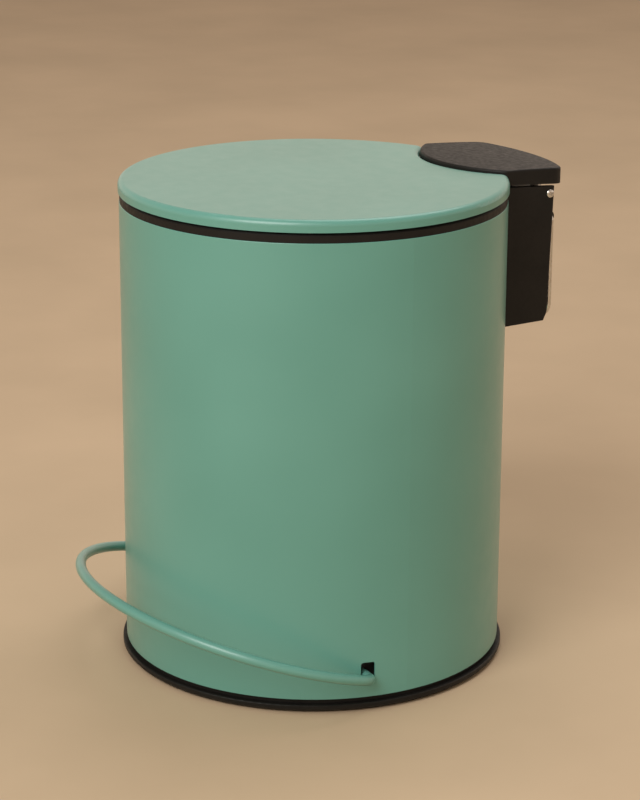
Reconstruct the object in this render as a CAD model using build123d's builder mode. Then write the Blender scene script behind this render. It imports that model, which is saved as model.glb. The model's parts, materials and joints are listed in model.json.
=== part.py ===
"""Round pedal bin with a wire pedal, a soft-closing hinged lid and a lift-out bucket.

Millimetres, +Z up. The origin is the centre of the underside, on the floor.
The pedal is at the front (-Y) and the lid hinge at the back (+Y).
"""
import os
from math import asin, cos, degrees, radians, sin, sqrt

from build123d import *

os.makedirs("parts", exist_ok=True)

# ------------------------------------------------------------------ driving sizes
body_r = 102.5          # outside radius of the painted shell
shell_t = 0.8           # sheet thickness of shell and lid
shell_z0 = 7.0          # bottom edge of the shell
shell_z1 = 249.0        # top edge of the shell
shell_edge = 0.4        # rounding of the shell's top edge

base_over = 2.0         # how far the base's lower band stands out from the shell
base_clear = 0.8        # height of the base above the floor
band_top = 4.6          # top of the base's lower band
plinth_step = 1.3       # how far the groove above the band is set in from the shell
floor_t = 2.2           # thickness of the base's floor
spigot_h = 6.5          # height of the base wall that stands inside the shell
wall_t = 2.2            # thickness of the moulded walls of base, rim and bucket

foot_in = 5.0           # middle of the rubber foot ring, in from the shell's outside
foot_w = 6.0            # width of the rubber foot ring
foot_t = 2.0            # thickness of the rubber foot ring

rim_band = 4.4          # visible height of the black rim
rim_set = 0.25          # how far the rim stands in from the shell's outside
rim_chamfer = 0.8
rim_depth = 15.0        # how far the rim reaches down inside the shell
rim_wall = 3.2          # thickness of the rim's wall
ledge_w = 7.0           # width of the ledge that carries the bucket
ledge_t = 2.5

lid_over = 0.5          # how far the lid stands out from the shell
lid_gap = 1.0           # gap between rim and lid
lid_h = 6.2             # height of the lid's edge
lid_round = 3.0         # rounding of the lid's top edge
lid_corner = 5.0        # rounding of the lid's corners beside the cap
liner_t = 2.2           # thickness of the lid's plastic liner
skirt_gap = 2.0         # gap between the liner's skirt and the rim's inside
skirt_h = 4.4           # how far the liner's skirt hangs below the lid's edge

cap_w_front = 84.0      # width of the hinge cap where it meets the lid's circle
cap_w_rear = 80.0       # width of the hinge cap at the back
cap_front_in = 27.5     # middle of the cap's front arc, in from the shell's outside
cap_corner_in = 0.05    # front corners of the cap, in from the lid's edge
cap_rear_out = 27.8     # rear corners of the cap, out from the shell, before rounding
cap_bow = 9.0           # how far the cap's rear edge bows out
cap_front_corner = 4.0  # rounding of the cap's front corners
cap_rear_corner = 8.0   # rounding of the cap's rear corners
cap_over = 1.7          # top of the cap at its front, above the lid
cap_drop = 3.6          # how far the cap's top falls to its rear edge
cap_wall = 2.0
cap_rear_drop = 2.25    # bottom of the cap at its rear corners, below the rim's top
slope = 5.0             # slope of the joint between cap and housing, in degrees
joint_gap = 1.4         # gap between cap and housing
cap_fit = 0.5           # gap between the cap and the lid round it

housing_drop = 73.0     # underside of the housing, below the shell's top
housing_out = 24.0      # rear face of the housing at its top, out from the shell
housing_taper = 2.4     # how far the rear face leans in towards the bottom
housing_wall = 3.0
housing_inset = 0.6     # housing sides set in from the cap's sides
notch_drop = 11.0       # rear wall between the hinge ears ends this far below the shell's top

pin_out = 20.7          # lid hinge axis, out from the shell
pin_drop = 8.0          # lid hinge axis, below the lid's edge
pin_r = 1.6
pin_head_r = 2.4
pin_head_t = 1.0
bush_t = 1.4            # wall of the hinge bushes
lid_swing = 80.0        # opening angle of the lid

arm_x = 20.0            # inner face of the lid bracket's arms
arm_t = 4.0             # thickness of the lid bracket's arms
lever_r = 17.0          # radius from the hinge axis to the lift bar
bar_r = 2.5             # radius of the lift bar
plate_t = 1.6           # thickness of the bracket plate
plate_w = 60.0          # width of the bracket plate
plate_front_in = 44.5   # front end of the bracket plate, in from the shell's outside

wire_r = 2.8            # radius of the pedal wire
axle_y = -22.2          # pedal axle
axle_z = 17.8
pedal_tilt = 17.0       # rise of the pedal's plane towards the front, in degrees
pedal_over = 4.8        # how far the pedal's oval is wider than the shell at each side
pedal_ahead = 19.2      # centre of the oval ahead of the axle
pedal_short = 12.4      # how much the oval's half length is under the shell's radius
axle_in = 46.5          # inner ends of the pedal wire, in from the shell's outside
elbow_bend = 4.0        # reach of the wire's bend outside the shell
slot_over = 1.9         # how much wider than the wire the shell's slots are
slot_above = 8.4
slot_below = 3.4

lever_in = 42.5         # middle of the lever's side arms, in from the shell's outside
lever_t = 4.0
cross_y = 72.0          # lever's cross bar, under the push rod's foot
cross_r = 3.0

rod_r = 2.5             # radius of the push rod
rod_low_in = 6.5        # push rod inside the shell, in from the shell's outside
rod_high_in = 1.6       # push rod inside the housing, ahead of the lift bar
joggle_drop = 63.0      # start of the push rod's joggle, below the shell's top
joggle_h = 13.0
rod_bend = 6.0
lift_gap = 0.6          # free play above the lever's cross bar
pad_gap = 0.8           # free play below the lift bar
pad_t = 3.0

damper_x = 12.6         # soft-close damper
damper_r = 5.5
damper_out = 7.0        # damper's axis, out from the shell
damper_h = 38.0
damper_rod_r = 1.5

handle_r = 1.5          # radius of the rear handle's wire
handle_x = 28.0         # middle of the handle's legs
handle_out = 5.8        # axis of the handle's lugs, behind the housing
handle_drop = 19.0      # axis of the handle's lugs, below the shell's top
handle_h = 54.5         # height of the handle's loop
handle_bend = 6.0
lug_t = 4.0             # width of the lugs that hold the handle

bucket_gap = 2.45       # gap between the bucket's wall and the rim's ledge
bucket_taper = 5.0      # how much the bucket narrows to its bottom
bucket_z0 = 48.5        # underside of the bucket
bucket_t = 1.6
bail_r = 1.7            # radius of the bucket's wire bail
grip_t = 0.7            # wall of the sleeve on the bail
grip_angle = 45.0       # arc of the bail that the sleeve covers

running = 0.05          # radial clearance of shafts in their bores
seat = 0.05             # clearance of pieces pushed into one another
free = 0.5              # clearance between pieces that pass each other

# ------------------------------------------------------------------ derived sizes
shell_in_r = body_r - shell_t
base_r = body_r + base_over
foot_r = body_r - foot_in
lid_r = body_r + lid_over
plinth_r = body_r - plinth_step
hem_r = shell_in_r - shell_t
spigot_r = shell_in_r - seat
base_floor_z = base_clear + floor_t
rim_z1 = shell_z1 + rim_band
rim_r = body_r - rim_set
rim_in_r = spigot_r - rim_wall
ledge_z0 = shell_z1 - rim_depth
ledge_z1 = ledge_z0 + ledge_t
lid_z0 = rim_z1 + lid_gap
lid_z1 = lid_z0 + lid_h
cap_front_y = body_r - cap_front_in
cap_corner_y = sqrt(lid_r**2 - (cap_w_front / 2) ** 2) - cap_corner_in
cap_rear_y = body_r + cap_rear_out
cap_top_z = lid_z1 + cap_over
cap_rear_z = rim_z1 - cap_rear_drop
housing_z0 = shell_z1 - housing_drop
housing_rear_y = body_r + housing_out
notch_z = shell_z1 - notch_drop
pin_y = body_r + pin_out
pin_z = lid_z0 - pin_drop
plate_front_y = body_r - plate_front_in
skirt_r = rim_in_r - skirt_gap
liner_z1 = lid_z1 - shell_t
liner_z0 = liner_z1 - liner_t
plate_z1 = liner_z0
plate_z0 = plate_z1 - plate_t
bucket_z1 = ledge_z1 + bucket_t + 0.3
bucket_top_r = rim_in_r - ledge_w - bucket_gap
bucket_low_r = bucket_top_r - bucket_taper
bar_y = pin_y - lever_r * cos(radians(lid_swing / 2))
bar_z = pin_z - lever_r * sin(radians(lid_swing / 2))
pad_z1 = bar_z - bar_r - pad_gap
foot_z0 = axle_z + cross_r + lift_gap
slot_w = 2 * wire_r + slot_over
rod_low_y = body_r - rod_low_in
rod_high_y = bar_y - rod_high_in
joggle_z = shell_z1 - joggle_drop
damper_y = body_r + damper_out
handle_y = housing_rear_y + handle_out
handle_top_z = shell_z1 - handle_drop
handle_low_z = handle_top_z - handle_h
pedal_half_w = body_r + pedal_over
pedal_reach = body_r - pedal_short
axle_in_x = body_r - axle_in
lever_x = body_r - lever_in
slope_fall = sin(radians(slope))


def cap_base_z(y):
    """Height of the cap's sloping underside at a distance y from the body's axis."""
    return cap_rear_z + (cap_rear_y - y) * slope_fall


def side_half(y):
    """Half width of the cap at y: its sides draw together towards the back."""
    share = (y - cap_corner_y) / (cap_rear_y - cap_corner_y)
    return (cap_w_front + (cap_w_rear - cap_w_front) * share) / 2


def finish(piece, name):
    """Label a finished piece and write it to its own file."""
    piece.part.label = name
    export_step(piece.part, f"parts/{name}.step")


def ring_sketch(r_out, r_in):
    """A flat ring in the current sketch."""
    Circle(r_out)
    Circle(r_in, mode=Mode.SUBTRACT)


def cap_plan(grow, rounded=True):
    """Plan of the cap: an arc in front, slanting sides and a bowed back."""
    half_front, half_rear = cap_w_front / 2 + grow, cap_w_rear / 2 + grow
    rear_y = cap_rear_y + grow
    with BuildSketch() as plan:
        with BuildLine():
            ThreePointArc(
                (-half_front, cap_corner_y), (0, cap_front_y - grow), (half_front, cap_corner_y)
            )
            Line((half_front, cap_corner_y), (half_rear, rear_y))
            ThreePointArc((half_rear, rear_y), (0, rear_y + cap_bow), (-half_rear, rear_y))
            Line((-half_rear, rear_y), (-half_front, cap_corner_y))
        make_face()
        if rounded:
            rear_pair = plan.vertices().group_by(Axis.Y)[-1]
            fillet(rear_pair, radius=cap_rear_corner + grow)
            front_pair = plan.vertices().filter_by(lambda v: abs(v.Y - cap_corner_y) < 0.01)
            fillet(front_pair, radius=cap_front_corner + grow)
    return plan.sketch


# ------------------------------------------------------------------ base
bearing_x = body_r - 16.5   # middle of the pedal bearings
bearing_t = 8.0
bearing_w = 26.0
bearing_over = 4.0      # material above the pedal wire
screw_r = 1.5           # every small screw's shank
screw_head_r = 2.8
screw_head_t = 1.4
bearing_pitch = 12.0    # distance between the two screws of a bearing
buffer_r = 6.0
buffer_wide = 30.0      # lever buffers sit this far from the middle

bearing_screws_at = [
    (side * bearing_x, axle_y + end * bearing_pitch / 2) for side in (-1, 1) for end in (-1, 1)
]

with BuildPart() as base_pan:
    base_wall_r = hem_r - seat
    with BuildSketch(Plane.XZ):
        with BuildLine():
            Polyline(
                (0, base_clear),
                (base_r - 1.5, base_clear),
                (base_r, base_clear + 1.5),
                (base_r, band_top),
                (plinth_r, band_top),
                (plinth_r, shell_z0),
                (base_wall_r, shell_z0),
                (base_wall_r, shell_z0 + spigot_h),
                (base_wall_r - wall_t, shell_z0 + spigot_h),
                (base_wall_r - wall_t, base_floor_z),
                (0, base_floor_z),
                (0, base_clear),
            )
        make_face()
    revolve(axis=Axis.Z)
    band_edge = base_pan.edges().filter_by(GeomType.CIRCLE).filter_by(
        lambda e: abs(e.radius - base_r) < 0.01 and abs(e.center().Z - band_top) < 0.01
    )
    fillet(band_edge, radius=0.6)
    with BuildSketch(Plane.XY.offset(base_clear)):
        ring_sketch(foot_r + foot_w / 2 + seat, foot_r - foot_w / 2 - seat)
    extrude(amount=foot_t - base_clear, mode=Mode.SUBTRACT)
    with BuildSketch(Plane.XY.offset(base_clear)):
        with Locations(*bearing_screws_at):
            Circle(screw_r + seat)
    extrude(amount=shell_z0, mode=Mode.SUBTRACT)
    with BuildSketch(Plane.XY.offset(base_clear)):
        with Locations(*bearing_screws_at):
            Circle(screw_head_r + free)
    extrude(amount=screw_head_t, mode=Mode.SUBTRACT)
finish(base_pan, "base_pan")

with BuildPart() as foot_ring:
    with BuildSketch():
        ring_sketch(foot_r + foot_w / 2, foot_r - foot_w / 2)
    extrude(amount=foot_t)
finish(foot_ring, "foot_ring")

# ------------------------------------------------------------------ shell
window_w = 12.0         # window for the rod in the shell's back
window_z0 = housing_z0 + 2.0
window_z1 = shell_z1 - rim_depth
housing_screw_x = 31.0
housing_screw_zs = (housing_z0 + 12.0, housing_z0 + 52.0)
guide_zs = (70.0, shell_z1 - 99.0)
guide_h = 12.0
guide_w = 18.0
guide_depth = 9.5

with BuildPart() as body_shell:
    with BuildSketch(Plane.XY.offset(shell_z0)):
        ring_sketch(body_r, shell_in_r)
    extrude(amount=shell_z1 - shell_z0)
    top_rim = body_shell.edges().filter_by(GeomType.CIRCLE).filter_by(
        lambda e: abs(e.radius - body_r) < 0.01 and abs(e.center().Z - shell_z1) < 0.01
    )
    fillet(top_rim, radius=shell_edge)
    with BuildSketch(Plane.XY.offset(shell_z0)):
        ring_sketch(body_r, hem_r)
    extrude(amount=shell_t)
    slot_h = slot_above + slot_below
    with BuildSketch(Plane.YZ):
        with Locations((axle_y, axle_z + (slot_above - slot_below) / 2)):
            RectangleRounded(slot_w, slot_h, 1.5)
    extrude(amount=body_r + 1, both=True, mode=Mode.SUBTRACT)
    with BuildSketch(Plane.XZ):
        with Locations((0, (window_z0 + window_z1) / 2)):
            RectangleRounded(window_w, window_z1 - window_z0, 2)
    extrude(amount=-(body_r + 1), mode=Mode.SUBTRACT)
    with BuildSketch(Plane.XZ):
        for z in housing_screw_zs:
            with Locations((-housing_screw_x, z), (housing_screw_x, z)):
                Circle(screw_r + seat)
        for z in guide_zs:
            with Locations((0, z + guide_h / 2)):
                Circle(screw_r + seat)
    extrude(amount=-(body_r + 1), mode=Mode.SUBTRACT)
finish(body_shell, "body_shell")

# ------------------------------------------------------------------ rim
with BuildPart() as rim_ring:
    with BuildSketch(Plane.XZ):
        with BuildLine():
            Polyline(
                (rim_r, shell_z1),
                (rim_r, rim_z1 - rim_chamfer),
                (rim_r - rim_chamfer, rim_z1),
                (rim_in_r, rim_z1),
                (rim_in_r, ledge_z1),
                (rim_in_r - ledge_w, ledge_z1),
                (rim_in_r - ledge_w, ledge_z0),
                (spigot_r, ledge_z0),
                (spigot_r, shell_z1),
                (rim_r, shell_z1),
            )
        make_face()
    revolve(axis=Axis.Z)
finish(rim_ring, "rim_ring")

# ------------------------------------------------------------------ hinge housing
ear_x = side_half(pin_y) - housing_inset - housing_wall     # inner face of the hinge ears
boss_r = 3.6
housing_screw_l = 14.0
pin_half = side_half(pin_y) - housing_inset

with BuildPart() as hinge_housing:
    top_front_z = cap_base_z(cap_corner_y) - joint_gap
    top_rear_z = cap_base_z(housing_rear_y) - joint_gap
    with BuildSketch(Plane.YZ):
        with BuildLine():
            Polyline(
                (cap_corner_y - 4, housing_z0),
                (cap_corner_y - 4, top_front_z),
                (housing_rear_y, top_rear_z),
                (housing_rear_y - housing_taper, housing_z0 + 6),
                (housing_rear_y - housing_taper - 3, housing_z0),
                (cap_corner_y - 4, housing_z0),
            )
        make_face()
    extrude(amount=cap_w_front / 2, both=True)
    with BuildSketch(Plane.XY.offset(housing_z0)):
        add(cap_plan(-housing_inset, rounded=False))
    extrude(amount=cap_top_z - housing_z0, mode=Mode.INTERSECT)
    rear_corners = hinge_housing.edges().filter_by(
        lambda e: e.center().Y > housing_rear_y - housing_taper - 1
        and abs(e.center().X) > ear_x
        and e.length > housing_wall * 4
    )
    fillet(rear_corners, radius=1.5)
    with BuildSketch(Plane.YZ):
        with BuildLine():
            Polyline(
                (cap_corner_y - 5, housing_z0 + housing_wall),
                (cap_corner_y - 5, cap_top_z),
                (housing_rear_y - housing_wall, cap_top_z),
                (housing_rear_y - housing_wall, top_rear_z),
                (housing_rear_y - housing_taper - housing_wall, housing_z0 + 7),
                (housing_rear_y - housing_taper - housing_wall - 3, housing_z0 + housing_wall),
                (cap_corner_y - 5, housing_z0 + housing_wall),
            )
        make_face()
    extrude(amount=ear_x, both=True, mode=Mode.SUBTRACT)
    with BuildSketch(Plane.XY.offset(notch_z)):
        with Locations((0, housing_rear_y)):
            Rectangle(2 * ear_x, housing_wall * 5)
    extrude(amount=cap_top_z - notch_z, mode=Mode.SUBTRACT)
    with BuildSketch(Plane.XZ.offset(-cap_corner_y + 4)):
        for z in housing_screw_zs:
            with Locations((-housing_screw_x, z), (housing_screw_x, z)):
                Circle(boss_r)
    extrude(amount=-(housing_rear_y - housing_taper - 0.3 - cap_corner_y + 4))
    with BuildSketch(Plane.XZ.offset(-cap_corner_y + 4)):
        for z in housing_screw_zs:
            with Locations((-housing_screw_x, z), (housing_screw_x, z)):
                Circle(screw_r + seat)
    extrude(amount=-(housing_screw_l + 7), mode=Mode.SUBTRACT)
    with BuildSketch(Plane.XY.offset(housing_z0 + housing_wall)):
        with Locations((damper_x, damper_y)):
            Circle(damper_r + seat + 2)
            Circle(damper_r + seat, mode=Mode.SUBTRACT)
    extrude(amount=6)
    lug_x = handle_x - handle_r - free - lug_t / 2
    for x in (-lug_x, lug_x):
        with BuildSketch(Plane.YZ.offset(x - lug_t / 2)):
            with Locations((handle_y, handle_top_z)):
                Circle(3.4)
            with Locations(((handle_y + housing_rear_y) / 2 - 1, handle_top_z)):
                Rectangle(handle_y - housing_rear_y + 2, 6.8)
        extrude(amount=lug_t)
    with BuildSketch(Plane.YZ):
        with Locations((handle_y, handle_top_z)):
            Circle(handle_r + running)
        with Locations((pin_y, pin_z)):
            Circle(pin_r + seat)
    extrude(amount=cap_w_front, both=True, mode=Mode.SUBTRACT)
    for side in (-1, 1):
        with BuildSketch(Plane((side * pin_half, pin_y, pin_z), z_dir=(side, 0, 0))):
            Circle(pin_head_r + free)
        extrude(amount=pin_head_t * 2, mode=Mode.SUBTRACT)
    with BuildSketch(Plane.XY.offset(housing_z0 - 1)):
        Circle(body_r + seat)
    extrude(amount=cap_top_z, mode=Mode.SUBTRACT)
finish(hinge_housing, "hinge_housing")

# housing screws come from inside the shell
with BuildPart() as housing_screws:
    for x in (-housing_screw_x, housing_screw_x):
        for z in housing_screw_zs:
            wall_y = sqrt(shell_in_r**2 - (abs(x) + screw_head_r) ** 2) - seat
            with BuildSketch(Plane((x, wall_y, z), x_dir=(1, 0, 0), z_dir=(0, 1, 0))):
                Circle(screw_r)
            extrude(amount=housing_screw_l)
            with BuildSketch(Plane((x, wall_y, z), x_dir=(1, 0, 0), z_dir=(0, -1, 0))):
                Circle(screw_head_r)
            extrude(amount=screw_head_t)
finish(housing_screws, "housing_screws")

# ------------------------------------------------------------------ hinge pin
with BuildPart() as hinge_pin:
    with BuildSketch(Plane.YZ.offset(-pin_half)):
        with Locations((pin_y, pin_z)):
            Circle(pin_r)
    extrude(amount=2 * pin_half)
    for side in (-1, 1):
        with BuildSketch(Plane((side * pin_half, pin_y, pin_z), z_dir=(side, 0, 0))):
            Circle(pin_head_r)
        extrude(amount=pin_head_t)
    head_rims = hinge_pin.edges().filter_by(GeomType.CIRCLE).filter_by(
        lambda e: abs(e.radius - pin_head_r) < 0.01 and abs(e.center().X) > pin_half + 0.5
    )
    fillet(head_rims, radius=0.5)
    with BuildSketch(Plane((pin_half + pin_head_t, pin_y, pin_z), z_dir=(1, 0, 0))):
        Rectangle(2.4, 0.6)
        Rectangle(0.6, 2.4)
    extrude(amount=-0.6, mode=Mode.SUBTRACT)
finish(hinge_pin, "hinge_pin")


# ------------------------------------------------------------------ lid
def lid_plan(inset):
    """Plan of the lid: a disc with a bay for the cap, its two points rounded."""
    with BuildSketch() as plan:
        Circle(lid_r - inset)
        add(cap_plan(cap_fit + inset, rounded=False), mode=Mode.SUBTRACT)
        points = plan.vertices().filter_by(lambda v: v.Y > 0)
        fillet(points, radius=lid_corner)
    return plan.sketch


def lid_solid(inset, bottom_z, top_z, edge_round):
    """A solid of the lid's plan whose outer top edge is rounded."""
    with BuildPart() as solid:
        with BuildSketch(Plane.XY.offset(bottom_z)):
            add(lid_plan(inset))
        extrude(amount=top_z - bottom_z)
        outer = solid.edges().filter_by(
            lambda e: abs(e.center().Z - top_z) < 0.01 and abs(e.radius - bay_radius) > 1
        )
        fillet(outer, radius=edge_round)
    return solid.part


bay_sag = cap_corner_y - cap_front_y
bay_radius = ((cap_w_front / 2) ** 2 + bay_sag**2) / (2 * bay_sag)

with BuildPart() as lid_shell:
    add(lid_solid(0, lid_z0, lid_z1, lid_round))
    add(
        lid_solid(shell_t, lid_z0 - 1, lid_z1 - shell_t, lid_round - shell_t),
        mode=Mode.SUBTRACT,
    )
    with BuildSketch(Plane.XY.offset(lid_z0 - 1)):
        with Locations((0, cap_corner_y)):
            Rectangle(plate_w + 2 * free, 2 * (cap_corner_y - plate_front_y))
    extrude(amount=plate_z1 + seat - lid_z0 + 1, mode=Mode.SUBTRACT)
finish(lid_shell, "lid_shell")

skirt_t = 2.0
liner_inset = shell_t + 1.6
plate_screws_at = [(x, y) for x in (-20.0, 20.0) for y in (plate_front_y + 6, plate_front_y + 14)]

with BuildPart() as lid_liner:
    with BuildSketch(Plane.XY.offset(liner_z0)):
        add(lid_plan(liner_inset))
    extrude(amount=liner_t)
    liner_rim = lid_liner.edges().filter_by(GeomType.CIRCLE).filter_by(
        lambda e: abs(e.radius - lid_r + liner_inset) < 0.01 and e.center().Z > liner_z1 - 0.01
    )
    chamfer(liner_rim, length=0.9)
    with BuildSketch(Plane.XY.offset(lid_z0 - skirt_h)):
        ring_sketch(skirt_r, skirt_r - skirt_t)
    extrude(amount=liner_z0 - lid_z0 + skirt_h)
    with BuildSketch(Plane.XY.offset(lid_z0 - skirt_h)):
        with Locations((0, lid_r)):
            Rectangle(cap_w_front + 4, 2 * (lid_r - plate_front_y))
    extrude(amount=liner_z0 - lid_z0 + skirt_h, mode=Mode.SUBTRACT)
    with BuildSketch(Plane.XY.offset(liner_z0)):
        with Locations(*plate_screws_at):
            Circle(screw_r + seat)
    extrude(amount=liner_t, mode=Mode.SUBTRACT)
finish(lid_liner, "lid_liner")

# ------------------------------------------------------------------ hinge cap
cap_post_r = 4.0
cap_posts_at = [(-12.0, 104.0), (12.0, 104.0)]
cap_round = 1.0
cap_screw_reach = 1.6   # depth of the cap screws in their posts
cap_arch_lead = 3.0     # the arch of the top runs this far past the cap's ends


def cap_section(inset, open_below):
    """Side view of the cap: flat over the rim, sloping behind it, gently arched on top."""
    front_y, rear_y = cap_front_y - 2 * cap_arch_lead, cap_rear_y + cap_bow + cap_arch_lead
    arch_y = cap_front_y - cap_arch_lead
    top_rear_z = cap_top_z - cap_drop
    with BuildSketch() as side:
        with BuildLine():
            Line((front_y, cap_top_z - inset), (arch_y, cap_top_z - inset))
            TangentArc((arch_y, cap_top_z - inset), (rear_y, top_rear_z - inset), tangent=(1, 0))
            Line((rear_y, top_rear_z - inset), (rear_y, cap_base_z(rear_y) - open_below))
            Line(
                (rear_y, cap_base_z(rear_y) - open_below),
                (cap_corner_y, cap_base_z(cap_corner_y) - open_below),
            )
            Line(
                (cap_corner_y, cap_base_z(cap_corner_y) - open_below),
                (front_y, cap_base_z(cap_corner_y) - open_below),
            )
            Line(
                (front_y, cap_base_z(cap_corner_y) - open_below), (front_y, cap_top_z - inset)
            )
        make_face()
    return side.sketch


def cap_solid(inset, open_below):
    """The cap's section carried across its width and trimmed to its plan."""
    with BuildPart() as solid:
        with BuildSketch(Plane.YZ):
            add(cap_section(inset, open_below))
        extrude(amount=cap_w_front, both=True)
        with BuildSketch(Plane.XY.offset(cap_rear_z - 10)):
            add(cap_plan(-inset))
        extrude(amount=40, mode=Mode.INTERSECT)
    return solid.part


with BuildPart() as hinge_cap:
    add(cap_solid(0, 0))
    top_edges = hinge_cap.faces().sort_by(Axis.Z)[-1].edges()
    fillet(top_edges, radius=cap_round)
    add(cap_solid(cap_wall, 5), mode=Mode.SUBTRACT)
    with BuildSketch(Plane.XZ.offset(-cap_front_y + 8)):
        with Locations((0, plate_z0 + plate_t / 2 - 2)):
            Rectangle(plate_w + 2 * free, plate_t + 4 + 2 * seat)
    extrude(amount=-22, mode=Mode.SUBTRACT)
    with BuildSketch(Plane.XY.offset(plate_z1)):
        with Locations(*cap_posts_at):
            Circle(cap_post_r)
            Circle(screw_r + seat, mode=Mode.SUBTRACT)
    extrude(until=Until.NEXT)
finish(hinge_cap, "hinge_cap")

# ------------------------------------------------------------------ lid bracket
knuckle_r = pin_r + bush_t + 2.0
bar_boss_r = bar_r + 1.6
arm_mid_x = arm_x + arm_t / 2
plate_rear_y = pin_y - 1.0
bush_r = pin_r + running + bush_t

with BuildPart() as lid_bracket:
    with BuildSketch(Plane.XY.offset(plate_z0)):
        with Locations((0, (plate_front_y + plate_rear_y) / 2)):
            RectangleRounded(plate_w, plate_rear_y - plate_front_y, 4)
    extrude(amount=plate_t)
    for side in (-1, 1):
        with BuildSketch(Plane.YZ.offset(side * arm_mid_x - arm_t / 2)):
            with Locations((pin_y, pin_z)):
                Circle(knuckle_r)
            with Locations((bar_y, bar_z)):
                Circle(bar_boss_r)
            with Locations((pin_y - 9, plate_z0 + plate_t / 2)):
                Rectangle(16, plate_t)
            make_hull()
        extrude(amount=arm_t)
    with BuildSketch(Plane.YZ.offset(-arm_x - arm_t)):
        with Locations((bar_y, bar_z)):
            Circle(bar_r)
    extrude(amount=2 * (arm_x + arm_t))
    with BuildSketch(Plane.YZ):
        with Locations((pin_y, pin_z)):
            Circle(bush_r + seat)
    extrude(amount=cap_w_front, both=True, mode=Mode.SUBTRACT)
    with BuildSketch(Plane.XY.offset(plate_z0)):
        with Locations(*plate_screws_at, *cap_posts_at):
            Circle(screw_r + seat)
    extrude(amount=plate_t, mode=Mode.SUBTRACT)
finish(lid_bracket, "lid_bracket")

with BuildPart() as hinge_bushes:
    for side in (-1, 1):
        with BuildSketch(Plane.YZ.offset(side * arm_mid_x - arm_t / 2)):
            with Locations((pin_y, pin_z)):
                Circle(bush_r)
                Circle(pin_r + running, mode=Mode.SUBTRACT)
        extrude(amount=arm_t)
finish(hinge_bushes, "hinge_bushes")


def screws_from_below(places, head_top_z, length):
    """Pan-head screws whose heads seat at head_top_z and whose shanks run up."""
    with BuildPart() as screws:
        with BuildSketch(Plane.XY.offset(head_top_z)):
            with Locations(*places):
                Circle(screw_r)
        extrude(amount=length)
        with BuildSketch(Plane.XY.offset(head_top_z)):
            with Locations(*places):
                Circle(screw_head_r)
        extrude(amount=-screw_head_t)
    return screws


bracket_screws = screws_from_below(plate_screws_at, plate_z0, plate_t + liner_t)
finish(bracket_screws, "bracket_screws")
cap_screws = screws_from_below(cap_posts_at, plate_z0, plate_t + cap_screw_reach)
finish(cap_screws, "cap_screws")

buffer_angles = (-150, -90, -30)
with BuildPart() as lid_buffers:
    with BuildSketch(Plane.XY.offset(rim_z1 + 0.1)):
        for angle in buffer_angles:
            with PolarLocations(lid_r - liner_inset - 1.2, 1, start_angle=angle):
                Circle(1.5)
    extrude(amount=liner_z0 - rim_z1 - 0.1)
finish(lid_buffers, "lid_buffers")

# ------------------------------------------------------------------ pedal
with BuildPart() as pedal_bow:
    tilt = radians(pedal_tilt)
    bow_plane = Plane((0, axle_y, axle_z), x_dir=(1, 0, 0), z_dir=(0, -sin(tilt), -cos(tilt)))
    end_angle = degrees(asin((pedal_ahead - 2 * elbow_bend) / pedal_reach))
    end_x = pedal_half_w * cos(radians(end_angle))
    end_y = pedal_ahead - pedal_reach * sin(radians(end_angle))
    lean = pedal_half_w * sin(radians(end_angle)) / (pedal_reach * cos(radians(end_angle)))
    elbow_x = end_x - elbow_bend - lean * end_y
    with BuildLine(bow_plane):
        for side in (-1, 1):
            Line((side * axle_in_x, 0), (side * elbow_x, 0))
            Bezier(
                (side * elbow_x, 0),
                (side * (elbow_x + elbow_bend * 0.7), 0),
                (side * (end_x - lean * elbow_bend), end_y - elbow_bend),
                (side * end_x, end_y),
            )
        EllipticalCenterArc(
            (0, pedal_ahead), pedal_half_w, pedal_reach, start_angle=-end_angle,
            arc_size=180 + 2 * end_angle,
        )
    with BuildSketch(Plane((axle_in_x, axle_y, axle_z), z_dir=(1, 0, 0))):
        Circle(wire_r)
    sweep()
finish(pedal_bow, "pedal_bow")

hub_r = wire_r + 3.0
with BuildPart() as pedal_lever:
    for side in (-1, 1):
        with BuildSketch(Plane.YZ.offset(side * lever_x - lever_t / 2)):
            with Locations((axle_y, axle_z)):
                Circle(hub_r)
            with Locations((cross_y, axle_z)):
                Circle(cross_r + 1)
            make_hull()
        extrude(amount=lever_t)
    with BuildSketch(Plane.YZ.offset(-lever_x)):
        with Locations((cross_y, axle_z)):
            Circle(cross_r)
    extrude(amount=2 * lever_x)
    with BuildSketch(Plane.YZ):
        with Locations((axle_y, axle_z)):
            Circle(wire_r + seat)
    extrude(amount=body_r, both=True, mode=Mode.SUBTRACT)
finish(pedal_lever, "pedal_lever")

bearing_h = axle_z - base_floor_z + wire_r + bearing_over
for side, name in ((-1, "pedal_bearing_left"), (1, "pedal_bearing_right")):
    with BuildPart() as pedal_bearing:
        with BuildSketch(Plane.XY.offset(base_floor_z)):
            with Locations((side * bearing_x, axle_y)):
                RectangleRounded(bearing_t, bearing_w, 2)
        extrude(amount=bearing_h)
        with BuildSketch(Plane.YZ):
            with Locations((axle_y, axle_z)):
                Circle(wire_r + running)
        extrude(amount=side * body_r, mode=Mode.SUBTRACT)
        with BuildSketch(Plane.XY.offset(base_floor_z)):
            with Locations(*bearing_screws_at):
                Circle(screw_r + seat)
        extrude(amount=8, mode=Mode.SUBTRACT)
    finish(pedal_bearing, name)

bearing_screws = screws_from_below(bearing_screws_at, base_clear + screw_head_t, floor_t + 6)
finish(bearing_screws, "bearing_screws")

with BuildPart() as lever_buffers:
    with BuildSketch(Plane.XY.offset(base_floor_z)):
        with Locations((-buffer_wide, cross_y), (buffer_wide, cross_y)):
            Circle(buffer_r)
    extrude(amount=axle_z - cross_r - 0.1 - base_floor_z, taper=3)
finish(lever_buffers, "lever_buffers")

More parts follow.
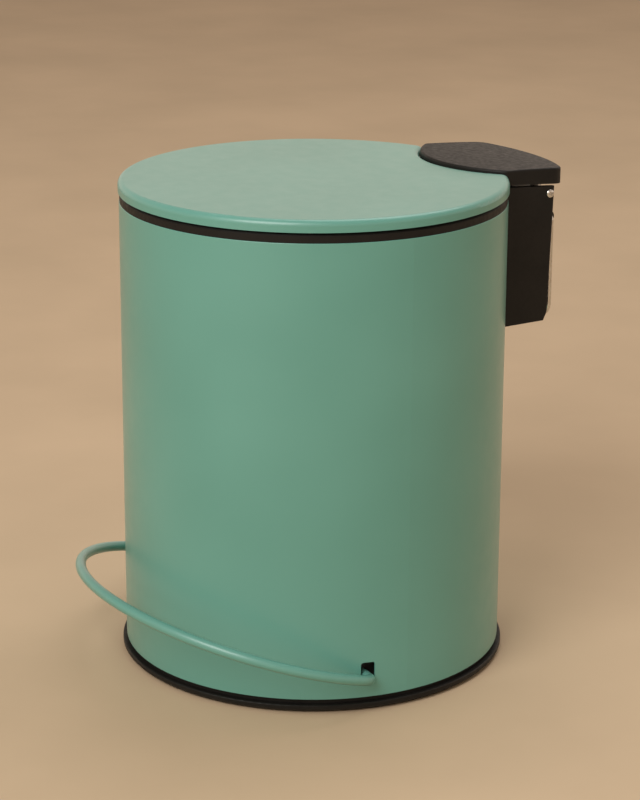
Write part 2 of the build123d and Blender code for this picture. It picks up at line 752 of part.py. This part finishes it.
# ------------------------------------------------------------------ push rod
rod_foot_r = rod_r
foot_axis_z = foot_z0 + rod_foot_r
pad_z0 = pad_z1 - pad_t

with BuildPart() as push_rod:
    with BuildLine(Plane.YZ):
        FilletPolyline(
            (cross_y - 6, foot_axis_z),
            (rod_low_y, foot_axis_z),
            (rod_low_y, joggle_z),
            (rod_high_y, joggle_z + joggle_h),
            (rod_high_y, pad_z0),
            radius=rod_bend,
        )
    with BuildSketch(Plane((0, cross_y - 6, foot_axis_z), z_dir=(0, 1, 0))):
        Circle(rod_r)
    sweep()
finish(push_rod, "push_rod")

with BuildPart() as rod_pad:
    with BuildSketch(Plane.XY.offset(pad_z0 - 4)):
        with Locations((0, rod_high_y)):
            RectangleRounded(8, 7.4, 1)
    extrude(amount=pad_t + 4)
    with BuildSketch(Plane.XY.offset(pad_z0 - 4)):
        with Locations((0, rod_high_y)):
            Circle(rod_r + seat)
    extrude(amount=4, mode=Mode.SUBTRACT)
finish(rod_pad, "rod_pad")

for z, name in zip(guide_zs, ("rod_guide_lower", "rod_guide_upper")):
    with BuildPart() as rod_guide:
        with BuildSketch(Plane.XY.offset(z)):
            with Locations((0, shell_in_r - guide_depth / 2)):
                Rectangle(guide_w, guide_depth)
            Circle(shell_in_r - seat, mode=Mode.INTERSECT)
            with Locations((0, rod_low_y)):
                Circle(rod_r + running, mode=Mode.SUBTRACT)
        extrude(amount=guide_h)
        with BuildSketch(Plane.XZ.offset(-rod_low_y - rod_r - 0.6)):
            with Locations((0, z + guide_h / 2)):
                Circle(screw_r + seat)
        extrude(amount=-10, mode=Mode.SUBTRACT)
    finish(rod_guide, name)

with BuildPart() as guide_screws:
    for z in guide_zs:
        start = Plane((0, body_r, z + guide_h / 2), x_dir=(1, 0, 0), z_dir=(0, -1, 0))
        with BuildSketch(start):
            Circle(screw_r)
        extrude(amount=body_r - rod_low_y - rod_r - 0.7)
        with BuildSketch(start):
            Circle(screw_head_r)
        extrude(amount=-screw_head_t)
finish(guide_screws, "guide_screws")

# ------------------------------------------------------------------ soft-close damper
damper_z0 = housing_z0 + housing_wall
damper_z1 = damper_z0 + damper_h
damper_floor = 3.0

with BuildPart() as damper_cylinder:
    with BuildSketch(Plane.XY.offset(damper_z0)):
        with Locations((damper_x, damper_y)):
            Circle(damper_r)
    extrude(amount=damper_h)
    with BuildSketch(Plane.XY.offset(damper_z0 + damper_floor)):
        with Locations((damper_x, damper_y)):
            Circle(damper_rod_r + running)
    extrude(amount=damper_h, mode=Mode.SUBTRACT)
finish(damper_cylinder, "damper_cylinder")

with BuildPart() as damper_rod:
    with BuildSketch(Plane.XY.offset(damper_z0 + damper_floor + free)):
        with Locations((damper_x, damper_y)):
            Circle(damper_rod_r)
    extrude(amount=pad_z1 - damper_z0 - damper_floor - free)
    with BuildSketch(Plane.XY.offset(pad_z1)):
        with Locations((damper_x, damper_y)):
            Circle(4.0)
    extrude(amount=-pad_t)
finish(damper_rod, "damper_rod")

# ------------------------------------------------------------------ rear handle
with BuildPart() as rear_handle:
    leg_end_x = lug_x - lug_t / 2
    with BuildLine(Plane.XZ.offset(-handle_y)) as bar:
        Polyline(
            (leg_end_x, handle_top_z),
            (handle_x, handle_top_z),
            (handle_x, handle_low_z),
            (-handle_x, handle_low_z),
            (-handle_x, handle_top_z),
            (-leg_end_x, handle_top_z),
        )
        corners = bar.vertices().filter_by(lambda v: abs(v.X) > handle_x - 0.1)
        fillet(corners.group_by(Axis.Z)[0], radius=handle_bend)
        fillet(corners.group_by(Axis.Z)[-1], radius=handle_r + 0.3)
    with BuildSketch(Plane((leg_end_x, handle_y, handle_top_z), z_dir=(1, 0, 0))):
        Circle(handle_r)
    sweep()
finish(rear_handle, "rear_handle")

# ------------------------------------------------------------------ inner bucket
bucket_flange_r = rim_in_r - free
ear_wall = 1.2          # wall of the ears round the bail's ends
ear_t = 3.0             # thickness of the ears

with BuildPart() as inner_bucket:
    with BuildSketch(Plane.XZ):
        with BuildLine():
            Polyline(
                (0, bucket_z0),
                (bucket_low_r - 4, bucket_z0),
                (bucket_low_r, bucket_z0 + 4),
                (bucket_top_r, ledge_z1 + 0.1),
                (bucket_flange_r, ledge_z1 + 0.1),
                (bucket_flange_r, bucket_z1),
                (bucket_top_r - bucket_t, bucket_z1),
                (bucket_low_r - bucket_t, bucket_z0 + 4),
                (bucket_low_r - bucket_t - 3, bucket_z0 + bucket_t),
                (0, bucket_z0 + bucket_t),
                (0, bucket_z0),
            )
        make_face()
    revolve(axis=Axis.Z)
    for side in (-1, 1):
        with BuildSketch(Plane.YZ.offset(side * (bucket_flange_r - ear_t / 2) - ear_t / 2)):
            with Locations((0, bucket_z1 + bail_r + 0.8)):
                Circle(bail_r + ear_wall)
            with Locations((0, bucket_z1 + 0.6)):
                Rectangle(2 * (bail_r + ear_wall), 3)
        extrude(amount=ear_t)
    with BuildSketch(Plane.YZ):
        with Locations((0, bucket_z1 + bail_r + 0.8)):
            Circle(bail_r + running)
    extrude(amount=body_r, both=True, mode=Mode.SUBTRACT)
finish(inner_bucket, "inner_bucket")

bail_axis_z = bucket_z1 + bail_r + 0.8
bail_mid_r = bucket_flange_r - ear_t - free - bail_r - 1.2
bail_lead = 2.5         # angle over which the bail's ends turn into its ears
with BuildPart() as bucket_bail:
    arc_start = radians(bail_lead)
    arc_x, arc_y = bail_mid_r * cos(arc_start), -bail_mid_r * sin(arc_start)
    bend_x = bucket_flange_r - ear_t - free / 2
    with BuildLine(Plane.XY.offset(bail_axis_z)):
        for side in (-1, 1):
            Line((side * bucket_flange_r, 0), (side * bend_x, 0))
            Bezier(
                (side * bend_x, 0),
                (side * bail_mid_r, 0),
                (side * bail_mid_r, arc_y * 0.4),
                (side * arc_x, arc_y),
            )
        ThreePointArc((-arc_x, arc_y), (0, -bail_mid_r), (arc_x, arc_y))
    with BuildSketch(Plane((bucket_flange_r, 0, bail_axis_z), z_dir=(-1, 0, 0))):
        Circle(bail_r)
    sweep()
finish(bucket_bail, "bucket_bail")

with BuildPart() as bail_grip:
    half_arc = radians(grip_angle / 2)
    grip_end = (bail_mid_r * sin(half_arc), -bail_mid_r * cos(half_arc))
    with BuildLine(Plane.XY.offset(bail_axis_z)):
        ThreePointArc((-grip_end[0], grip_end[1]), (0, -bail_mid_r), grip_end)
    start = Plane(
        (-grip_end[0], grip_end[1], bail_axis_z), z_dir=(cos(half_arc), -sin(half_arc), 0)
    )
    with BuildSketch(start):
        ring_sketch(bail_r + seat + grip_t, bail_r + seat)
    sweep()
finish(bail_grip, "bail_grip")
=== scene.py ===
# %% [markdown]
# # A pedal trash can
# This lesson dresses a small round trash can: a painted steel drum on a moulded base, a pressed
# lid, a wire pedal in front and a moulded hinge at the back. The shapes were designed
# beforehand and arrive as a fixed frame, so most of the work here is what light does on them.
# The frame is loaded first, because every position that follows is measured from it.

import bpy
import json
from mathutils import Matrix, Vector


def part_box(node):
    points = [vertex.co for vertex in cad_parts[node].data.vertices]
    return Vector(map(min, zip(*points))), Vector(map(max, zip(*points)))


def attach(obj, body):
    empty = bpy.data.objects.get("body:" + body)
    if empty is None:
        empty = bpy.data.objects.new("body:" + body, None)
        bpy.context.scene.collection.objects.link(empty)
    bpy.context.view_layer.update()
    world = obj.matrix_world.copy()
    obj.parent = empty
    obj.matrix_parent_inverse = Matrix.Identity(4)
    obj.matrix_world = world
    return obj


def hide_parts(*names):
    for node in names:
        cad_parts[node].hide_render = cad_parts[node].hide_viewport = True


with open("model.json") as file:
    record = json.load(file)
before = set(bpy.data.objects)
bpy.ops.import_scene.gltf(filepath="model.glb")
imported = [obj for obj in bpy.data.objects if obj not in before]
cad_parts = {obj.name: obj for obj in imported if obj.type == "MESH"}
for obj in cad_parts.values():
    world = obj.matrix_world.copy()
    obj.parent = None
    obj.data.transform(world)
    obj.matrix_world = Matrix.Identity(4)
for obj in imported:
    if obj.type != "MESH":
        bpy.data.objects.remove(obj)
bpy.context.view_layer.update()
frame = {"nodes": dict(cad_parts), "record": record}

# %% Names used all through
import json
from math import cos, pi, radians, sin

import bmesh
import bpy
from mathutils import Matrix, Vector

MM = 0.001
print("parts in the frame:", len(frame["nodes"]))

# %% [markdown]
# ## How a finish is put together
# Every finish starts from one Principled shader. Its steady numbers are set straight on its own
# sockets. What varies over the surface comes from a few noise patterns that read Object
# coordinates, so a grain keeps its real size whichever part it is on.

# %% Start a finish
def start_finish(name, **steady):
    material = bpy.data.materials.new(name)
    material.use_nodes = True
    tree = material.node_tree
    shader = tree.nodes["Principled BSDF"]
    for socket, value in steady.items():
        shader.inputs[socket.replace("_", " ")].default_value = value
    place = tree.nodes.new("ShaderNodeTexCoord").outputs["Object"]
    return material, tree, shader, place


# %% [markdown]
# A pattern is a noise of a known size in millimetres. The helper stretches it along an axis when
# the real mark has a direction, as brushing does.

# %% Patterns
def speckle(tree, place, size_mm, detail=2.0, stretch=(1, 1, 1), rough=0.5):
    mapping = tree.nodes.new("ShaderNodeMapping")
    mapping.inputs["Scale"].default_value = stretch
    tree.links.new(place, mapping.inputs["Vector"])
    noise = tree.nodes.new("ShaderNodeTexNoise")
    noise.inputs["Scale"].default_value = 1 / (size_mm * MM)
    noise.inputs["Detail"].default_value = detail
    noise.inputs["Roughness"].default_value = rough
    tree.links.new(mapping.outputs["Vector"], noise.inputs["Vector"])
    return noise.outputs["Fac"]


def spread(tree, pattern, low, high, out_low=0.0, out_high=1.0):
    remap = tree.nodes.new("ShaderNodeMapRange")
    remap.clamp = True
    for socket, value in zip(("From Min", "From Max", "To Min", "To Max"),
                             (low, high, out_low, out_high)):
        remap.inputs[socket].default_value = value
    tree.links.new(pattern, remap.inputs["Value"])
    return remap.outputs["Result"]


def two_tones(tree, pattern, first, second):
    mix = tree.nodes.new("ShaderNodeMix")
    mix.data_type = "RGBA"
    mix.inputs["A"].default_value = (*first, 1)
    mix.inputs["B"].default_value = (*second, 1)
    tree.links.new(pattern, mix.inputs["Factor"])
    return mix.outputs["Result"]


def relief(tree, pattern, depth_mm, strength=1.0, below=None):
    bump = tree.nodes.new("ShaderNodeBump")
    bump.inputs["Distance"].default_value = depth_mm * MM
    bump.inputs["Strength"].default_value = strength
    tree.links.new(pattern, bump.inputs["Height"])
    if below is not None:
        tree.links.new(below, bump.inputs["Normal"])
    return bump.outputs["Normal"]


# %% [markdown]
# ## Sage powder coat
# The drum, the lid and the pedal wire are steel sprayed with powder and baked. The powder melts
# into a satin skin with a faint orange-peel ripple, about a millimetre and a half across, under
# a much finer grain. The tone drifts a little over a hand's width.

# %% Sage paint
def make_sage_paint():
    material, tree, shader, place = start_finish("sage_powder_coat", IOR=1.5,
                                                 Coat_Weight=0.55, Coat_Roughness=0.28)
    drift = spread(tree, speckle(tree, place, 70, detail=1), 0.3, 0.7)
    tone = two_tones(tree, drift, (0.100, 0.306, 0.254), (0.116, 0.336, 0.282))
    tree.links.new(tone, shader.inputs["Base Color"])
    sheen = spread(tree, speckle(tree, place, 9, detail=3), 0.3, 0.7, 0.36, 0.44)
    tree.links.new(sheen, shader.inputs["Roughness"])
    peel = relief(tree, speckle(tree, place, 1.6, detail=1), 0.02, 0.5)
    grain = relief(tree, speckle(tree, place, 0.22, detail=2), 0.006, 0.6, below=peel)
    tree.links.new(grain, shader.inputs["Normal"])
    return material


sage_paint = make_sage_paint()
print("made", sage_paint.name)

# %% [markdown]
# ## Black moulded plastic
# The base, the rim and the hinge cover are polypropylene from an etched mould. The etching leaves
# a fine leathery grain that breaks up any reflection.

# %% Black plastic
def make_black_plastic():
    material, tree, shader, place = start_finish("black_moulded_plastic", IOR=1.49,
                                                 Specular_IOR_Level=0.24)
    mottle = spread(tree, speckle(tree, place, 18, detail=2), 0.35, 0.65)
    tone = two_tones(tree, mottle, (0.0068, 0.0064, 0.0056), (0.0096, 0.0088, 0.0076))
    tree.links.new(tone, shader.inputs["Base Color"])
    matt = spread(tree, speckle(tree, place, 2.5, detail=3), 0.3, 0.7, 0.42, 0.58)
    tree.links.new(matt, shader.inputs["Roughness"])
    etch = relief(tree, speckle(tree, place, 0.45, detail=3), 0.03, 0.55)
    tree.links.new(etch, shader.inputs["Normal"])
    return material


black_plastic = make_black_plastic()
print("made", black_plastic.name)

# %% [markdown]
# ## Grey liner plastic
# The bucket that lifts out and the skin under the lid are a dark grey plastic, smoother than the
# outside mouldings so that they wipe clean, with fine vertical draw marks from the mould.

# %% Liner plastic
def make_liner_plastic():
    material, tree, shader, place = start_finish("grey_liner_plastic", IOR=1.49)
    mottle = spread(tree, speckle(tree, place, 30, detail=2), 0.3, 0.7)
    tone = two_tones(tree, mottle, (0.030, 0.031, 0.032), (0.040, 0.041, 0.042))
    tree.links.new(tone, shader.inputs["Base Color"])
    drawn = speckle(tree, place, 0.8, detail=2, stretch=(1, 1, 0.04))
    tree.links.new(spread(tree, drawn, 0.3, 0.7, 0.30, 0.46), shader.inputs["Roughness"])
    tree.links.new(relief(tree, drawn, 0.012, 0.4), shader.inputs["Normal"])
    return material


liner_plastic = make_liner_plastic()
print("made", liner_plastic.name)

# %% [markdown]
# ## Bright steel
# The handle wire and the hinge pin are stainless steel, drawn through a die and tumbled. Drawing
# leaves hairlines along the wire, and tumbling softens them.

# %% Metals
def make_metal(name, first, second, low_rough, high_rough, mark_mm, stretch, depth_mm):
    material, tree, shader, place = start_finish(name, Metallic=1.0)
    marks = speckle(tree, place, mark_mm, detail=3, stretch=stretch)
    cloud = spread(tree, speckle(tree, place, 6, detail=2), 0.3, 0.7)
    tree.links.new(two_tones(tree, cloud, first, second), shader.inputs["Base Color"])
    tree.links.new(spread(tree, marks, 0.3, 0.7, low_rough, high_rough),
                   shader.inputs["Roughness"])
    tree.links.new(relief(tree, marks, depth_mm, 0.5), shader.inputs["Normal"])
    return material


stainless = make_metal("stainless_steel", (0.62, 0.60, 0.57), (0.70, 0.69, 0.66),
                       0.16, 0.30, 0.25, (1, 1, 0.05), 0.004)
zinc_steel = make_metal("zinc_plated_steel", (0.50, 0.51, 0.52), (0.62, 0.62, 0.60),
                        0.28, 0.50, 1.2, (1, 1, 1), 0.008)
screw_steel = make_metal("screw_steel", (0.52, 0.51, 0.49), (0.60, 0.59, 0.57),
                         0.24, 0.38, 0.5, (1, 1, 1), 0.005)
print("made", stainless.name, zinc_steel.name, screw_steel.name)

# %% [markdown]
# ## Nylon, rubber and the damper's casing
# The bearings and guides are nylon dyed dark grey, which wears to a soft polish. The foot ring and
# the buffers are rubber, dull and slightly dusty. The damper has a smooth casing.

# %% Small mouldings
def make_moulding(name, first, second, low_rough, high_rough, grain_mm, depth_mm, **steady):
    material, tree, shader, place = start_finish(name, **steady)
    cloud = spread(tree, speckle(tree, place, 5, detail=3), 0.3, 0.7)
    tree.links.new(two_tones(tree, cloud, first, second), shader.inputs["Base Color"])
    grain = speckle(tree, place, grain_mm, detail=3)
    tree.links.new(spread(tree, grain, 0.3, 0.7, low_rough, high_rough),
                   shader.inputs["Roughness"])
    tree.links.new(relief(tree, grain, depth_mm, 0.5), shader.inputs["Normal"])
    return material


nylon = make_moulding("dark_nylon", (0.078, 0.077, 0.074), (0.098, 0.096, 0.092),
                      0.34, 0.46, 0.6, 0.01)
rubber = make_moulding("soft_rubber", (0.016, 0.016, 0.015), (0.028, 0.027, 0.025),
                       0.62, 0.82, 0.7, 0.02)
damper_casing = make_moulding("damper_casing", (0.020, 0.021, 0.023), (0.028, 0.029, 0.031),
                              0.22, 0.34, 0.9, 0.006)
print("made", nylon.name, rubber.name, damper_casing.name)

# %% [markdown]
# ## Dressing the frame's parts
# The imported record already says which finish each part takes, so the finishes are handed out by
# the record's own slot names. A part that had none would stop the script here.

# %% Hand out the finishes
FINISHES = {
    "sage_paint": sage_paint,
    "black_plastic": black_plastic,
    "liner_plastic": liner_plastic,
    "stainless": stainless,
    "zinc_steel": zinc_steel,
    "screw_steel": screw_steel,
    "nylon": nylon,
    "rubber": rubber,
    "damper_body": damper_casing,
}
slot_of = {row["node"]: row["material_slot"] for row in frame["record"]["subparts"]}
for node, part in frame["nodes"].items():
    part.data.materials.clear()
    part.data.materials.append(FINISHES[slot_of[node]])
print("dressed", len(slot_of), "parts in", len(FINISHES), "finishes")

# %% [markdown]
# ## Screws and pin heads
# The frame's screws are plain discs on shanks. Real ones have a pan head, which is a low dome
# with a cross recess punched into it. One head is turned as a profile spun round its axis, and
# the cross is cut from it with two thin blocks, because a punched recess has sharp, flat walls
# that a bump map can't give.

# %% Turn one head
SMALL_HEAD_R, SMALL_HEAD_T, SMALL_SHANK_R = 2.8, 1.4, 1.5   # millimetres, as in the frame
SHARP_OVER = radians(32)


def spun(profile_mm, steps=32):
    """A closed mesh made by turning (radius, height) points about the Z axis."""
    form = bmesh.new()
    verts = [form.verts.new((r * MM, 0, z * MM)) for r, z in profile_mm]
    edges = [form.edges.new(pair) for pair in zip(verts, verts[1:])]
    bmesh.ops.spin(form, geom=verts + edges, cent=(0, 0, 0), axis=(0, 0, 1), dvec=(0, 0, 0),
                   angle=2 * pi, steps=steps, use_merge=True, use_duplicate=False)
    bmesh.ops.remove_doubles(form, verts=form.verts, dist=1e-6)
    bmesh.ops.recalc_face_normals(form, faces=form.faces)
    return form


def as_object(form, name):
    data = bpy.data.meshes.new(name)
    form.to_mesh(data)
    form.free()
    piece = bpy.data.objects.new(name, data)
    bpy.context.scene.collection.objects.link(piece)
    return piece


def pan_screw(name, head_r, head_t, shank_r, length):
    """A screw whose head stands up from z = 0 and whose shank runs down from it."""
    screw = as_object(spun([
        (0, head_t), (head_r * 0.42, head_t * 0.97), (head_r * 0.70, head_t * 0.84),
        (head_r * 0.88, head_t * 0.60), (head_r * 0.98, head_t * 0.28), (head_r, 0.08),
        (head_r * 0.97, 0), (shank_r, 0), (shank_r, -length + 0.3), (shank_r - 0.3, -length),
        (0, -length),
    ]), name)
    cross = bmesh.new()
    for turn in (0, pi / 2):
        made = bmesh.ops.create_cube(cross, size=1)["verts"]
        bmesh.ops.scale(cross, vec=(head_r * 1.15 * MM, head_r * 0.26 * MM, head_t * MM),
                        verts=made)
        bmesh.ops.rotate(cross, cent=(0, 0, 0), matrix=Matrix.Rotation(turn, 3, "Z"), verts=made)
        bmesh.ops.translate(cross, vec=(0, 0, head_t * 0.95 * MM), verts=made)
    cutter = as_object(cross, name + "_cutter")
    cut = screw.modifiers.new("cross", "BOOLEAN")
    cut.object = cutter
    cut.solver = "EXACT"
    cut.use_self = True
    bpy.context.view_layer.update()
    seen = screw.evaluated_get(bpy.context.evaluated_depsgraph_get())
    finished = bpy.data.meshes.new_from_object(seen)
    bpy.data.objects.remove(screw)
    bpy.data.objects.remove(cutter)
    print(name, "has", len(finished.polygons), "faces")
    return finished


# %% [markdown]
# A set of screws is one piece. The master is copied to each place and turned so that its head
# faces the way it is driven from, each by its own small angle, as a driver leaves them.

# %% Set the screws
def set_screws(name, master, places_mm, facing, material, body, stands_for):
    form = bmesh.new()
    turn_to = Vector(facing).to_track_quat("Z", "Y").to_matrix()
    for index, place in enumerate(places_mm):
        before = len(form.verts)
        form.from_mesh(master)
        form.verts.ensure_lookup_table()
        fresh = form.verts[before:]
        own_turn = Matrix.Rotation(0.4 + 0.9 * index, 3, "Z")
        bmesh.ops.rotate(form, cent=(0, 0, 0), matrix=turn_to @ own_turn, verts=fresh)
        bmesh.ops.translate(form, vec=Vector(place) * MM, verts=fresh)
    piece = as_object(form, name)
    piece.data.shade_smooth()
    piece.data.set_sharp_from_angle(angle=SHARP_OVER)
    piece.data.materials.append(material)
    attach(piece, body)
    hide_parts(stands_for)
    print(name, "holds", len(places_mm), "screws")


def mm(corner):
    return [v / MM for v in corner]


def small_screw(name, length):
    return pan_screw(name, SMALL_HEAD_R, SMALL_HEAD_T, SMALL_SHANK_R, length)


# guide screws sit on the drum's back, one above the other
low, high = map(mm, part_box("guide_screws"))
drum_back = high[1] - SMALL_HEAD_T
guide_heights = (low[2] + SMALL_HEAD_R, high[2] - SMALL_HEAD_R)
guide_screw = small_screw("guide_screw_master", drum_back - low[1])
set_screws("guide_screws_pan", guide_screw, [(0, drum_back, z) for z in guide_heights],
           (0, 1, 0), screw_steel, "body", "guide_screws")

# the bracket is screwed to the lid's liner and to the cap from below
low, high = map(mm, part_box("bracket_screws"))
seat_z = low[2] + SMALL_HEAD_T
corners = [(x, y, seat_z) for x in (low[0] + SMALL_HEAD_R, high[0] - SMALL_HEAD_R)
           for y in (low[1] + SMALL_HEAD_R, high[1] - SMALL_HEAD_R)]
bracket_screw = small_screw("bracket_screw_master", high[2] - seat_z)
set_screws("bracket_screws_pan", bracket_screw, corners, (0, 0, -1), screw_steel, "lid",
           "bracket_screws")
low, high = map(mm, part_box("cap_screws"))
pair = [(x, (low[1] + high[1]) / 2, low[2] + SMALL_HEAD_T)
        for x in (low[0] + SMALL_HEAD_R, high[0] - SMALL_HEAD_R)]
cap_screw = small_screw("cap_screw_master", high[2] - low[2] - SMALL_HEAD_T)
set_screws("cap_screws_pan", cap_screw, pair, (0, 0, -1), screw_steel, "lid",
           "cap_screws")

# the bearings are held by four screws through the floor of the base
low, high = map(mm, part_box("bearing_screws"))
base_places = [(x, y, low[2] + SMALL_HEAD_T)
               for x in (low[0] + SMALL_HEAD_R, high[0] - SMALL_HEAD_R)
               for y in (low[1] + SMALL_HEAD_R, high[1] - SMALL_HEAD_R)]
bearing_screw = small_screw("bearing_screw_master", high[2] - low[2] - SMALL_HEAD_T)
set_screws("bearing_screws_pan", bearing_screw, base_places, (0, 0, -1), screw_steel, "body",
           "bearing_screws")

# %% [markdown]
# ## The hinge pin
# The pin is a plain steel rod with a head on each side of the housing. The heads show, one on
# each ear, so they get the same dome and cross. The pin is made as two equal halves, each a head
# with half of the rod, which meet in the middle at a shallow groove.

# %% Hinge pin
low, high = map(mm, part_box("hinge_pin"))
pin_mid = ((low[1] + high[1]) / 2, (low[2] + high[2]) / 2)
head_r, head_t, rod_r = (high[2] - low[2]) / 2, 1.0, 1.6
half_pin = (high[0] - low[0]) / 2
pin_end = pan_screw("pin_end_master", head_r, head_t, rod_r, half_pin - head_t)
pin_form = bmesh.new()
for side in (-1, 1):
    before = len(pin_form.verts)
    pin_form.from_mesh(pin_end)
    pin_form.verts.ensure_lookup_table()
    fresh = pin_form.verts[before:]
    lay_down = Vector((side, 0, 0)).to_track_quat("Z", "Y").to_matrix()
    tilt = Matrix.Rotation(0.35 * side, 3, "Z")
    bmesh.ops.rotate(pin_form, cent=(0, 0, 0), matrix=lay_down @ tilt, verts=fresh)
    bmesh.ops.translate(pin_form, verts=fresh,
                        vec=Vector((side * (half_pin - head_t), *pin_mid)) * MM)
pin = as_object(pin_form, "hinge_pin_turned")
pin.data.shade_smooth()
pin.data.set_sharp_from_angle(angle=SHARP_OVER)
pin.data.materials.append(stainless)
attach(pin, "body")
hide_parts("hinge_pin")
print("pin is", round(2 * half_pin, 2), "mm over its heads")

# %% [markdown]
# ## The drum's seam
# The drum is rolled from one sheet, so somewhere its two edges meet. Makers put that lap at the
# back, beside the hinge, where it shows as a narrow raised strip under the paint. A short edge
# spun a few degrees round the drum's axis gives the strip its curve, and it is then given the
# sheet's thickness and soft edges.

# %% Lap seam
low, high = map(mm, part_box("body_shell"))
drum_r = high[0]
seam = bmesh.new()
seam_turn, seam_width = radians(63), radians(3.0)
seam_sunk, seam_raised = 0.05, 0.45     # millimetres under and over the drum's surface
foot_gap, head_gap = 0.6, 1.2           # millimetres short of the drum's edges
start = Vector((cos(seam_turn), sin(seam_turn), 0)) * (drum_r - seam_sunk) * MM
foot_v = seam.verts.new(start + Vector((0, 0, (low[2] + foot_gap) * MM)))
head_v = seam.verts.new(start + Vector((0, 0, (high[2] - head_gap) * MM)))
seam_edge = seam.edges.new((foot_v, head_v))
bmesh.ops.spin(seam, geom=[foot_v, head_v, seam_edge], cent=(0, 0, 0), axis=(0, 0, 1),
               dvec=(0, 0, 0), angle=seam_width, steps=6, use_merge=False, use_duplicate=False)
raised = bmesh.ops.extrude_face_region(seam, geom=list(seam.faces))
lifted = [g for g in raised["geom"] if isinstance(g, bmesh.types.BMVert)]
grow = (drum_r + seam_raised) / (drum_r - seam_sunk)
bmesh.ops.scale(seam, vec=(grow, grow, 1), verts=lifted)
bmesh.ops.recalc_face_normals(seam, faces=seam.faces)
rims = [e for e in seam.edges if e.is_manifold and e.calc_face_angle() > 1.0
        and all(Vector(v.co.xy).length > drum_r * MM for v in e.verts)]
bmesh.ops.bevel(seam, geom=rims, offset=0.3 * MM, offset_type="OFFSET", segments=3,
                profile=0.5, affect="EDGES", material=-1)
lap = as_object(seam, "drum_lap_seam")
lap.data.shade_smooth()
lap.data.set_sharp_from_angle(angle=radians(40))
lap.data.materials.append(sage_paint)
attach(lap, "body")
print("seam has", len(lap.data.polygons), "faces")

# %% [markdown]
# ## The floor
# The can stands on a plain pale floor, warm in tone so that its light lifts the underside of the
# pedal. It is one large sheet with a faint clouding.

# %% Floor
def make_floor_finish():
    material, tree, shader, place = start_finish("pale_floor")
    cloud = spread(tree, speckle(tree, place, 160, detail=4), 0.3, 0.7)
    tone = two_tones(tree, cloud, (0.515, 0.392, 0.257), (0.577, 0.440, 0.291))
    tree.links.new(tone, shader.inputs["Base Color"])
    shader.inputs["Roughness"].default_value = 0.75
    return material


floor_mesh = bmesh.new()
FLOOR_HALF = 6      # metres
bmesh.ops.create_grid(floor_mesh, x_segments=1, y_segments=1, size=FLOOR_HALF)
floor_data = bpy.data.meshes.new("floor")
floor_mesh.to_mesh(floor_data)
floor_mesh.free()
floor_data.materials.append(make_floor_finish())
floor = bpy.data.objects.new("floor", floor_data)
bpy.context.scene.collection.objects.link(floor)
print("floor is", floor.dimensions.x, "m wide")

# %% [markdown]
# ## Light
# One wide soft light stands at one side of the view and a weaker one shines from above and
# behind. The world is a pale peach that dims with height, and the satin lid reflects it.

# %% Lights and world
VIEW_TURN = radians(61)


def around(turn_deg, height, distance):
    turn = VIEW_TURN + radians(turn_deg)
    return Vector((sin(turn) * distance, -cos(turn) * distance, height))


def soft_light(name, place, aim, size, watts, colour):
    lamp = bpy.data.lights.new(name, "AREA")
    lamp.shape = "DISK"
    lamp.size = size
    lamp.energy = watts
    lamp.color = colour
    holder = bpy.data.objects.new(name, lamp)
    holder.location = place
    holder.rotation_euler = (aim - place).to_track_quat("-Z", "Y").to_euler()
    bpy.context.scene.collection.objects.link(holder)


middle = Vector((0, 0, 0.13))
soft_light("key_light", around(-30, 1.3, 1.5), middle, 1.2, 23, (1.0, 0.98, 0.96))
soft_light("top_light", around(150, 1.9, 0.9), middle, 1.6, 14, (1.0, 0.97, 0.94))


def make_studio_world():
    world = bpy.data.worlds.new("studio")
    world.use_nodes = True
    tree = world.node_tree
    backdrop = tree.nodes["Background"]
    backdrop.inputs["Color"].default_value = (0.98, 0.80, 0.66, 1)
    heading = tree.nodes.new("ShaderNodeTexCoord").outputs["Generated"]
    parts = tree.nodes.new("ShaderNodeSeparateXYZ")
    tree.links.new(heading, parts.inputs["Vector"])
    glow = spread(tree, parts.outputs["Z"], 0.0, 0.7, 1.05, 0.35)
    tree.links.new(glow, backdrop.inputs["Strength"])
    return world


bpy.context.scene.world = make_studio_world()
bpy.context.scene.view_settings.view_transform = "Standard"

# %% [markdown]
# ## Camera
# The camera stands about 1.4 m away and half a metre up with a long lens, looking down at
# 17 degrees, so the lid shows as a shallow ellipse and the sides of the drum stay upright.

# %% Camera
eye = bpy.data.cameras.new("view")
eye.lens = 112.5
eye.sensor_width = 36
camera = bpy.data.objects.new("view", eye)
camera.location = around(0, 0.538, 1.2905)
look_yaw, look_pitch, look_roll = 0.003, 0.301, 0.005
camera.matrix_world = (
    Matrix.Translation(camera.location)
    @ Matrix.Rotation(VIEW_TURN - look_yaw, 4, "Z")
    @ Matrix.Rotation(pi / 2 - look_pitch, 4, "X")
    @ Matrix.Rotation(look_roll, 4, "Z")
)
bpy.context.scene.collection.objects.link(camera)
bpy.context.scene.camera = camera
print("camera at", tuple(round(v, 3) for v in camera.location))
